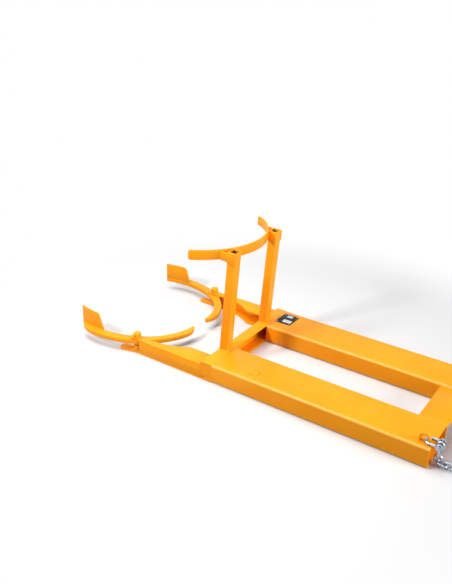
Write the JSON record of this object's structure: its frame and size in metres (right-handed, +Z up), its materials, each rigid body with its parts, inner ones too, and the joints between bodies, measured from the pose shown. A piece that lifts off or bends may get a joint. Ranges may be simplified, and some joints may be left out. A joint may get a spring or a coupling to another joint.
{
  "type": "drum-handling fork attachment",
  "caption": "Steel attachment that slides over fork tines, with swinging arms that grip a drum's base, leaning posts with a curved saddle bar, and a securing chain.",
  "frame": {"origin": "on the floor, halfway across the frame and halfway along it, without the chain", "axes": "+X to the right-hand sleeve (the one with the chain eye), +Y to the open ends of the sleeves, +Z up"},
  "size_m": [0.6438, 1.5977, 0.484],
  "materials": {
    "paint": "glossy yellow-orange powder coat",
    "zinc": "bright zinc plate",
    "fastener": "zinc plate",
    "bush": "oiled bronze",
    "plate": "black rating plate, satin"
  },
  "bodies": {
    "frame": {"right_sleeve": "paint", "left_sleeve": "paint", "right_end_plate": "paint", "left_end_plate": "paint", "right_side_plate": "paint", "left_side_plate": "paint", "right_top_plate": "paint", "left_top_plate": "paint", "right_bottom_plate": "paint", "left_bottom_plate": "paint", "right_collar": "paint", "left_collar": "paint", "right_pivot_pin": "paint", "left_pivot_pin": "paint", "right_lower_boss": "paint", "left_lower_boss": "paint", "right_thrust_washer": "fastener", "left_thrust_washer": "fastener", "right_roll_pin": "fastener", "left_roll_pin": "fastener", "right_post": "paint", "left_post": "paint", "right_gusset": "paint", "left_gusset": "paint", "front_channel": "paint", "rear_cross_plate": "paint", "saddle_bar": "paint", "rating_plate": "plate", "plate_rivets": "fastener", "square_lug": "paint", "chain_eye": "paint", "shackle_bow": "zinc", "shackle_pin": "zinc", "chain_link_01": "zinc", "chain_link_02": "zinc", "chain_link_03": "zinc", "chain_link_04": "zinc", "chain_link_05": "zinc", "chain_link_06": "zinc", "chain_link_07": "zinc", "chain_link_08": "zinc", "chain_link_09": "zinc", "chain_link_10": "zinc", "chain_link_11": "zinc", "chain_link_12": "zinc", "chain_link_13": "zinc", "hook_body": "zinc"},
    "right_arm": {"right_grip_arm": "paint", "right_arm_bush": "bush", "right_grip_pad": "paint"},
    "left_arm": {"left_grip_arm": "paint", "left_arm_bush": "bush", "left_grip_pad": "paint"},
    "gate": {"hook_gate": "zinc", "gate_pin": "zinc"}
  },
  "joints": [
    {"name": "right_arm_swing", "type": "hinge", "parent": "frame", "child": "right_arm", "pos_m": [0.264, -0.4559, 0.0453], "axis": [0, 0, -1], "range_deg": [-80, 38]},
    {"name": "left_arm_swing", "type": "hinge", "parent": "frame", "child": "left_arm", "pos_m": [-0.264, -0.4559, 0.0453], "axis": [0, 0, 1], "range_deg": [-80, 38]},
    {"name": "hook_gate_swing", "type": "hinge", "parent": "frame", "child": "gate", "pos_m": [0.06872, 0.81045, 0.00987], "axis": [0.0951, 0.0346, -0.9949], "range_deg": [0, 20], "stiffness_Nm_per_rad": 0.05, "springref_deg": -17.19}
  ]
}
